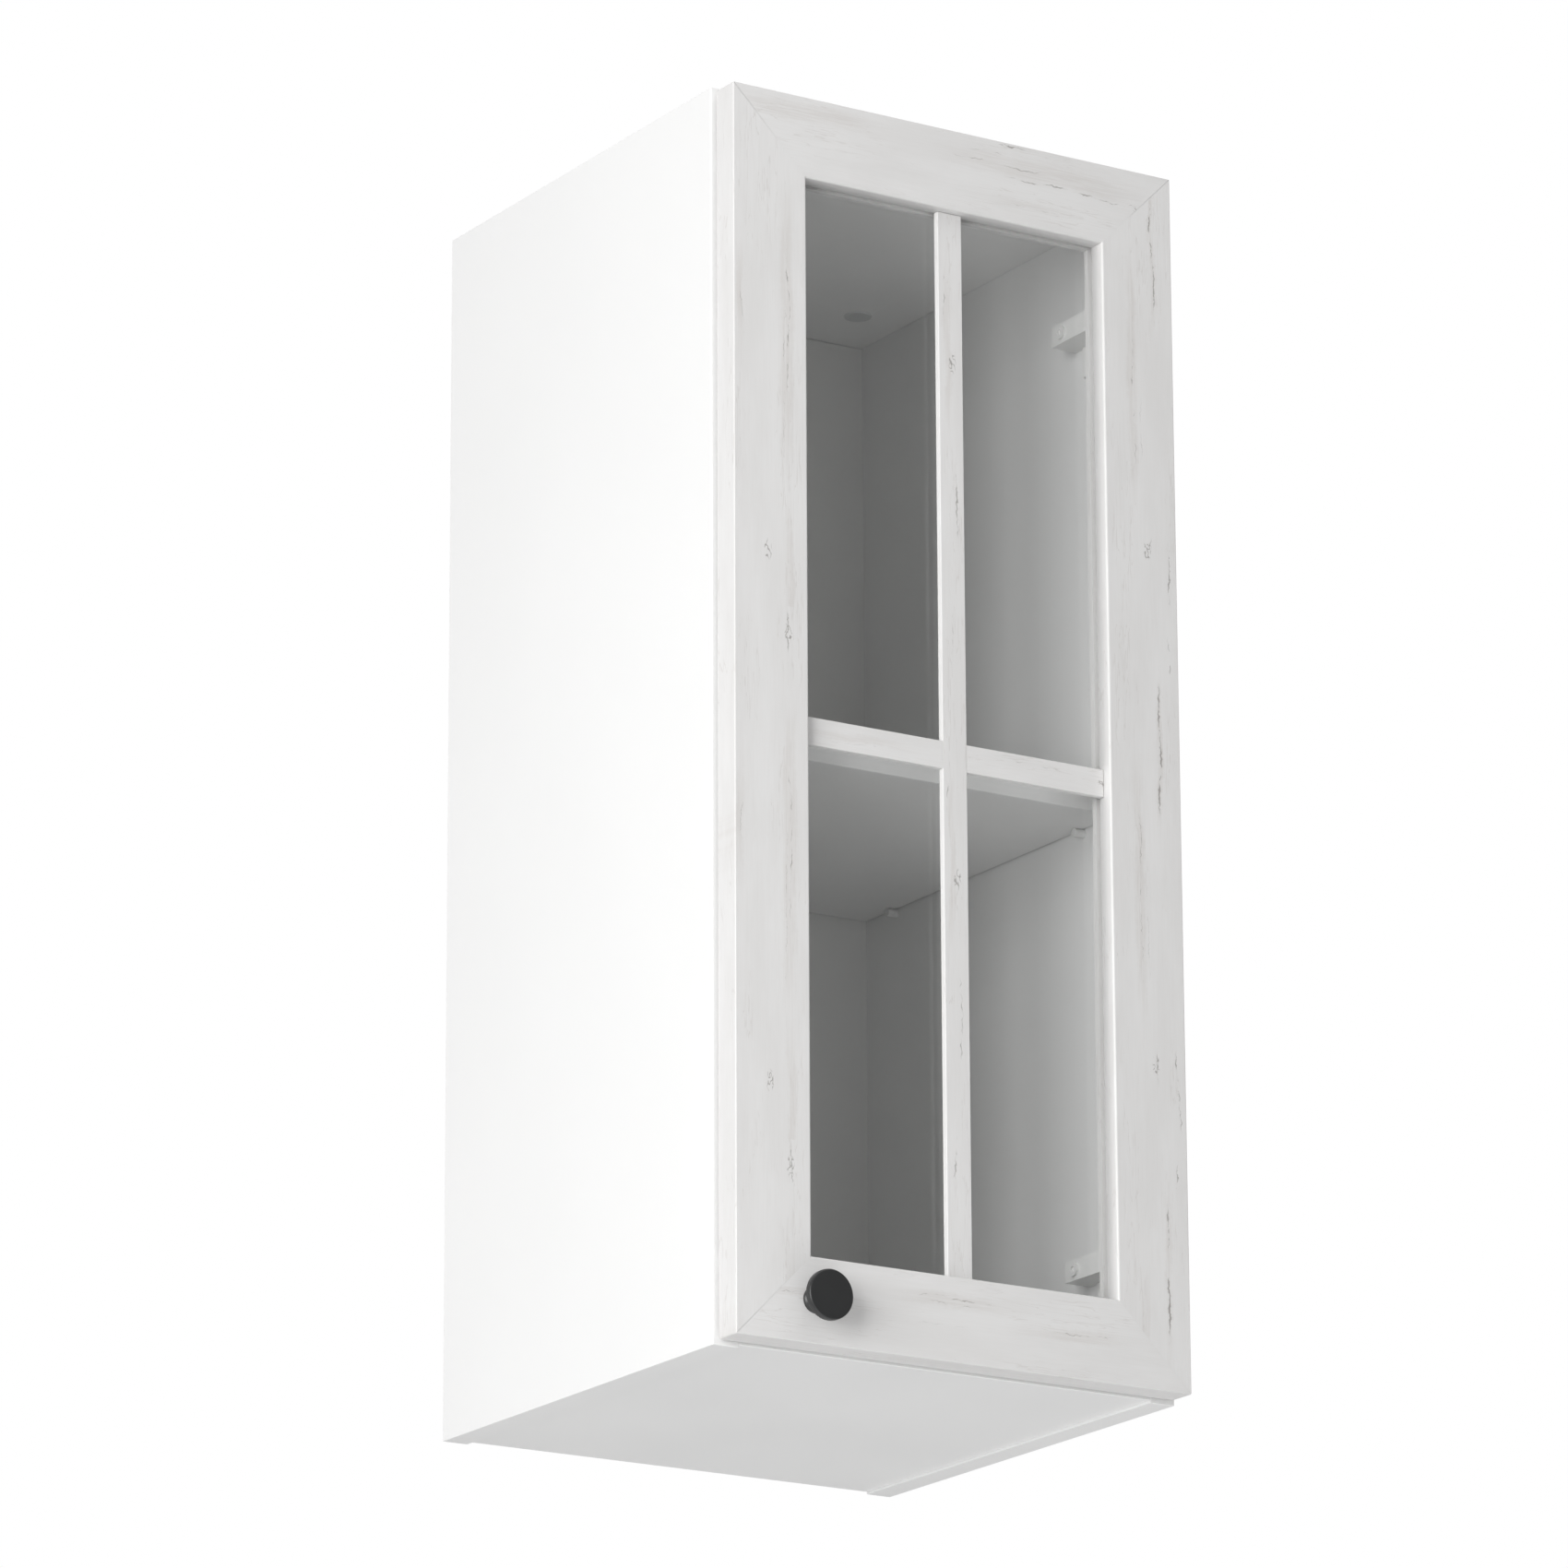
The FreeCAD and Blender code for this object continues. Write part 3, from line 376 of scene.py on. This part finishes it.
# ---- mesh helpers --------------------------------------------------------------------------------
SMOOTH_BELOW = math.radians(35)
TURNED_SMOOTH_BELOW = math.radians(40)
BEVEL_ABOVE = math.radians(40)
FLAT_WITHIN = math.radians(0.5)
SAME_POINT = 1e-6
ON_THE_BLOCK = 2e-5


def new_object(name, mesh):
    thing = bpy.data.objects.new(name, mesh)
    bpy.context.scene.collection.objects.link(thing)
    return thing


def mesh_of(bm, name, sharp_above):
    """Ends the bmesh and returns it as a smooth-shaded mesh that stays sharp at steeper edges."""
    mesh = bpy.data.meshes.new(name)
    bm.to_mesh(mesh)
    bm.free()
    mesh.shade_smooth()
    mesh.set_sharp_from_angle(angle=sharp_above)
    return mesh


def softened(node, radius, steps=2):
    """A board-like CAD node with the edges of its outer block rounded; it replaces the node."""
    source = frame["nodes"][node]
    low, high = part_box(node)
    bm = bmesh.new()
    bm.from_mesh(source.data)
    bmesh.ops.remove_doubles(bm, verts=bm.verts, dist=SAME_POINT)
    bmesh.ops.dissolve_limit(bm, angle_limit=FLAT_WITHIN, verts=bm.verts, edges=bm.edges)

    def sides_met(point):
        gaps = [min(abs(point[a] - low[a]), abs(point[a] - high[a])) for a in range(3)]
        return sum(gap < ON_THE_BLOCK for gap in gaps)

    outer = []
    for edge in bm.edges:
        if len(edge.link_faces) != 2 or edge.calc_face_angle(0.0) < BEVEL_ABOVE:
            continue
        if sides_met((edge.verts[0].co + edge.verts[1].co) / 2) >= 2:
            outer.append(edge)
    bmesh.ops.bevel(bm, geom=outer, offset=radius, offset_type="OFFSET", segments=steps,
                    profile=0.5, affect="EDGES", clamp_overlap=True)
    mesh = mesh_of(bm, node + "_soft", SMOOTH_BELOW)
    mesh.materials.clear()
    mesh.materials.append(look_of(node))
    thing = new_object(node + "_soft", mesh)
    thing.modifiers.new("flat_faces", "WEIGHTED_NORMAL").keep_sharp = True
    carry(thing, node)


def carry(thing, node):
    """The piece rides with the CAD node's body and stands for it; the node is hidden."""
    body = frame["nodes"][node]["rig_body"]
    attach(thing, body)
    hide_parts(node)


def turned(name, centre, outline, turns=96):
    """A piece turned about an axis along -Y; outline lists (radius, reach) from foot to face."""
    bm = bmesh.new()
    rings = []
    for radius, reach in outline:
        ring = []
        for step in range(turns):
            angle = 2 * math.pi * step / turns
            ring.append(bm.verts.new((centre.x + radius * math.cos(angle), centre.y - reach,
                                      centre.z + radius * math.sin(angle))))
        rings.append(ring)
    for near, far in zip(rings, rings[1:]):
        for step in range(turns):
            after = (step + 1) % turns
            bm.faces.new((near[step], near[after], far[after], far[step]))
    bm.faces.new(rings[0])
    bm.faces.new(reversed(rings[-1]))
    bmesh.ops.recalc_face_normals(bm, faces=bm.faces)
    return new_object(name, mesh_of(bm, name, TURNED_SMOOTH_BELOW))


SLOTS = {part["node"]: part["material_slot"] for part in frame["record"]["subparts"]}

# ---- materials -----------------------------------------------------------------------------------
door_left_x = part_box("door_stile_left")[0].x
door_top_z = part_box("door_stile_right")[1].z
opening_left_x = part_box("door_stile_left")[1].x
opening_right_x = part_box("door_stile_right")[0].x
opening_low_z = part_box("door_rail_bottom")[1].z
opening_top_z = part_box("door_rail_top")[0].z
bar_low, bar_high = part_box("glazing_bar_vertical")
cross_low_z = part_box("glazing_bar_horizontal")[0].z

# a foil, then its stains (across, first, last, half width), cracks (across, first, last, width)
# and knots (across, along), all in millimetres on the member
FOILS = {
    "door_stile_left": Foil(
        "foil_stile_left", "X", opening_left_x, "Z", door_top_z, True, True).finished(
        [(13, 70, 215, 5.5), (12, 250, 320, 3.5), (45, 100, 150, 3.0)],
        [(12.5, 95, 175, 0.42), (15, 130, 215, 0.25), (44, 118, 140, 0.3), (13.5, 3, 24, 0.6)],
        [(26, 271), (13, 15)]),
    "door_stile_right": Foil(
        "foil_stile_right", "X", opening_right_x, "Z", door_top_z, False, True).finished(
        [(19, 60, 190, 4.0), (34, 10, 85, 2.5)],
        [(34, 8, 80, 0.75), (19.5, 84, 178, 0.30), (24, 140, 176, 0.22), (43, 222, 262, 0.5),
         (40, 282, 298, 0.75), (30, 218, 236, 0.3)],
        [(28, 228)]),
    "door_rail_top": Foil(
        "foil_rail_top", "Z", opening_top_z, "X", door_left_x, False, False).finished(
        [(34, 150, 262, 9.0), (38, 8, 90, 7.0), (12, 185, 216, 3.0)],
        [(27, 188, 272, 0.55), (34, 150, 205, 0.35), (40, 160, 190, 0.3), (46.5, 180, 192, 0.9),
         (11, 190, 214, 0.3)],
        [(24, 276)]),
    "door_rail_bottom": Foil(
        "foil_rail_bottom", "Z", opening_low_z, "X", door_left_x, True, False).finished(
        [(14, 112, 165, 5.0), (24, 190, 245, 5.0), (21, 25, 60, 3.0)],
        [(13, 118, 162, 0.38), (16, 124, 150, 0.28), (27, 118, 146, 0.28), (23, 200, 240, 0.34),
         (21, 28, 52, 0.26)],
        []),
}
BAR_FOIL_UP = Foil("foil_bar_up", "X", bar_low.x, "Z", bar_high.z, False, True).finished(
    [(6, 40, 120, 3.0)], [(4, 36, 60, 0.5), (11, 150, 190, 0.45), (6, 240, 262, 0.5)], [(9, 90)])
BAR_FOIL_ACROSS = Foil(
    "foil_bar_across", "Z", cross_low_z, "X", door_left_x, False, False).finished(
    [(8, 60, 110, 3.0)], [(5, 70, 96, 0.35), (11, 190, 215, 0.35)], [(8, 250)])
LOOKS = {
    "white_board": laminate("white_melamine", (0.85, 0.85, 0.846)),
    "white_edging": laminate("white_edging", (0.87, 0.87, 0.865), 0.33),
    "white_hardboard": hardboard("white_hardboard", (0.80, 0.80, 0.79)),
    "pale_pine_foil": BAR_FOIL_UP,
    "clear_glass": clear_glass("clear_pane"),
    "black_metal": satin_black("satin_black"),
    "beech": beech("beech_dowel"),
    "white_nylon": plastic("grey_nylon", (0.66, 0.67, 0.67), 0.45),
    "clear_bumper": plastic("bumper_rubber", (0.72, 0.73, 0.73), 0.35, 0.3),
    "white_lacquered_steel": laminate("white_lacquer", (0.82, 0.82, 0.81), 0.30),
    "white_plastic": plastic("white_plastic", (0.80, 0.80, 0.79), 0.4),
    "zinc_casting": metal("zinc_casting", (0.56, 0.56, 0.57), 0.42, (1, 1, 1)),
    "nickel_steel": metal("nickel_steel", (0.66, 0.64, 0.60), 0.25, (1, 1, 0.08)),
    "zinc_plated_steel": metal("zinc_plated", (0.60, 0.61, 0.64), 0.33, (1, 1, 0.1)),
}
ALONG_X = ("glazing_bar_horizontal", "glass_bead_top", "glass_bead_bottom")


def look_of(node):
    if node in ALONG_X:
        return BAR_FOIL_ACROSS
    return FOILS.get(node, LOOKS[SLOTS[node]])


for name, thing in frame["nodes"].items():
    if not thing.material_slots:
        thing.data.materials.append(look_of(name))
    for slot in thing.material_slots:
        slot.material = look_of(name)

# ---- boards and door members with softened edges -------------------------------------------------
BOARD_EDGE = 0.35 * MM
FOIL_EDGE = 0.7 * MM
BAR_EDGE = 0.45 * MM
EDGE_OF = {
    "door_stile_left": FOIL_EDGE,
    "door_stile_right": FOIL_EDGE,
    "door_rail_top": FOIL_EDGE,
    "door_rail_bottom": FOIL_EDGE,
    "glazing_bar_vertical": BAR_EDGE,
    "glazing_bar_horizontal": BAR_EDGE,
}
for board in ("side_panel_left", "side_panel_right", "top_panel", "bottom_panel", "shelf"):
    EDGE_OF[board] = BOARD_EDGE
for band in ("side_left", "side_right", "top", "bottom", "shelf"):
    EDGE_OF["edge_band_" + band] = BOARD_EDGE
for name, radius in EDGE_OF.items():
    softened(name, radius)

# ---- knob: a turned disc on a waisted neck -------------------------------------------------------
def quarter(radius, reach, size, start, steps=8):
    """Points on a quarter round about (radius, reach), from the angle start in degrees."""
    angles = [math.radians(start + 90 * step / steps) for step in range(steps + 1)]
    return [(radius + size * math.cos(angle), reach + size * math.sin(angle)) for angle in angles]


knob_low, knob_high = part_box("knob")
knob_radius = (knob_high.x - knob_low.x) / 2
knob_reach = knob_high.y - knob_low.y
HEAD = 4.5 * MM
FOOT_RADIUS = 7.5 * MM
NECK_RADIUS = 6.0 * MM
FOOT_THICK = 1.6 * MM
RIM_ROUND = 1.2 * MM
BACK_ROUND = 0.8 * MM
back_of_head = knob_reach - HEAD
# foot, hollows into and out of the neck, rounded head, slightly dished face
outline = [
    (FOOT_RADIUS, 0.0),
    (FOOT_RADIUS, FOOT_THICK),
    (NECK_RADIUS + 0.4 * MM, FOOT_THICK + 0.9 * MM),
    (NECK_RADIUS, FOOT_THICK + 2.2 * MM),
    (NECK_RADIUS, back_of_head - 1.8 * MM),
    (NECK_RADIUS + 0.5 * MM, back_of_head - 0.6 * MM),
    (NECK_RADIUS + 1.8 * MM, back_of_head),
    *quarter(knob_radius - BACK_ROUND, back_of_head + BACK_ROUND, BACK_ROUND, -90),
    *quarter(knob_radius - RIM_ROUND, knob_reach - RIM_ROUND, RIM_ROUND, 0),
    (knob_radius * 0.72, knob_reach - 0.10 * MM),
    (knob_radius * 0.35, knob_reach - 0.22 * MM),
]
knob_centre = (knob_low + knob_high) / 2
knob_centre.y = knob_high.y
knob = turned("knob_turned", knob_centre, outline)
knob.data.materials.append(LOOKS["black_metal"])
carry(knob, "knob")

# ---- floor, light and camera ---------------------------------------------------------------------
HANG_HEIGHT = 1.45
FLOOR_HALF = 12.0
WORLD_LIGHT = 0.30
low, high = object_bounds()
middle = (low + high) / 2
floor_mesh = bpy.data.meshes.new("floor")
floor_bm = bmesh.new()
bmesh.ops.create_grid(floor_bm, x_segments=2, y_segments=2, size=FLOOR_HALF)
floor_bm.to_mesh(floor_mesh)
floor_bm.free()
floor = new_object("floor", floor_mesh)
floor.location.z = low.z - HANG_HEIGHT
pale = Recipe("pale_floor")
floor_tone = pale.mix(pale.noise(pale.place(), 1.5, 3.0), (0.78, 0.78, 0.78), (0.82, 0.82, 0.82))
floor.data.materials.append(pale.surface(floor_tone, 0.8))


def soft_light(name, place, aim, wide, tall, watts):
    data = bpy.data.lights.new(name, "AREA")
    data.shape = "RECTANGLE"
    data.size = wide
    data.size_y = tall
    data.energy = watts
    thing = new_object(name, data)
    thing.location = place
    thing.rotation_euler = (Vector(aim) - Vector(place)).to_track_quat("-Z", "Y").to_euler()
    thing.visible_camera = False


soft_light("key_left", (-2.42, -1.42, 0.30), middle, 1.6, 1.7, 70)
soft_light("low_front", (-0.8, -1.6, -1.1), middle, 1.8, 1.8, 6)
soft_light("overhead", (0.0, -0.8, 2.7), middle, 3.0, 3.0, 34)
soft_light("from_below", (0.1, -0.1, -1.25), middle, 2.2, 2.2, 8.3)

# a world that is white to the camera and lights the scene more softly
world = bpy.data.worlds.new("studio")
bpy.context.scene.world = world
world.use_nodes = True
nodes = world.node_tree.nodes
links = world.node_tree.links
nodes.clear()
world_out = nodes.new("ShaderNodeOutputWorld")
seen = nodes.new("ShaderNodeBackground")
seen.inputs["Color"].default_value = (1.0, 1.0, 1.0, 1.0)
seen.inputs["Strength"].default_value = 1.0
lit = nodes.new("ShaderNodeBackground")
lit.inputs["Color"].default_value = (1.0, 1.0, 1.0, 1.0)
lit.inputs["Strength"].default_value = WORLD_LIGHT
path = nodes.new("ShaderNodeLightPath")
which = nodes.new("ShaderNodeMixShader")
links.new(path.outputs["Is Camera Ray"], which.inputs[0])
links.new(lit.outputs[0], which.inputs[1])
links.new(seen.outputs[0], which.inputs[2])
links.new(which.outputs[0], world_out.inputs["Surface"])

# a long lens from below and from the left, looking up
SENSOR = 36.0
LENS = 190.588235
FAR = 50.0
TURN = 0.5629
RISE = 0.2896
ROLL = -0.0042
camera_data = bpy.data.cameras.new("camera")
camera_data.sensor_width = SENSOR
camera_data.lens = LENS
camera_data.clip_end = FAR
camera = new_object("camera", camera_data)
camera.location = (-2.4344, -3.8386, -0.9829)
aimed = Euler((math.pi / 2 + RISE, 0.0, -TURN)).to_matrix()
camera.rotation_euler = (aimed @ Matrix.Rotation(ROLL, 3, "Z")).to_euler()
bpy.context.scene.camera = camera
bpy.context.scene.view_settings.view_transform = "Standard"
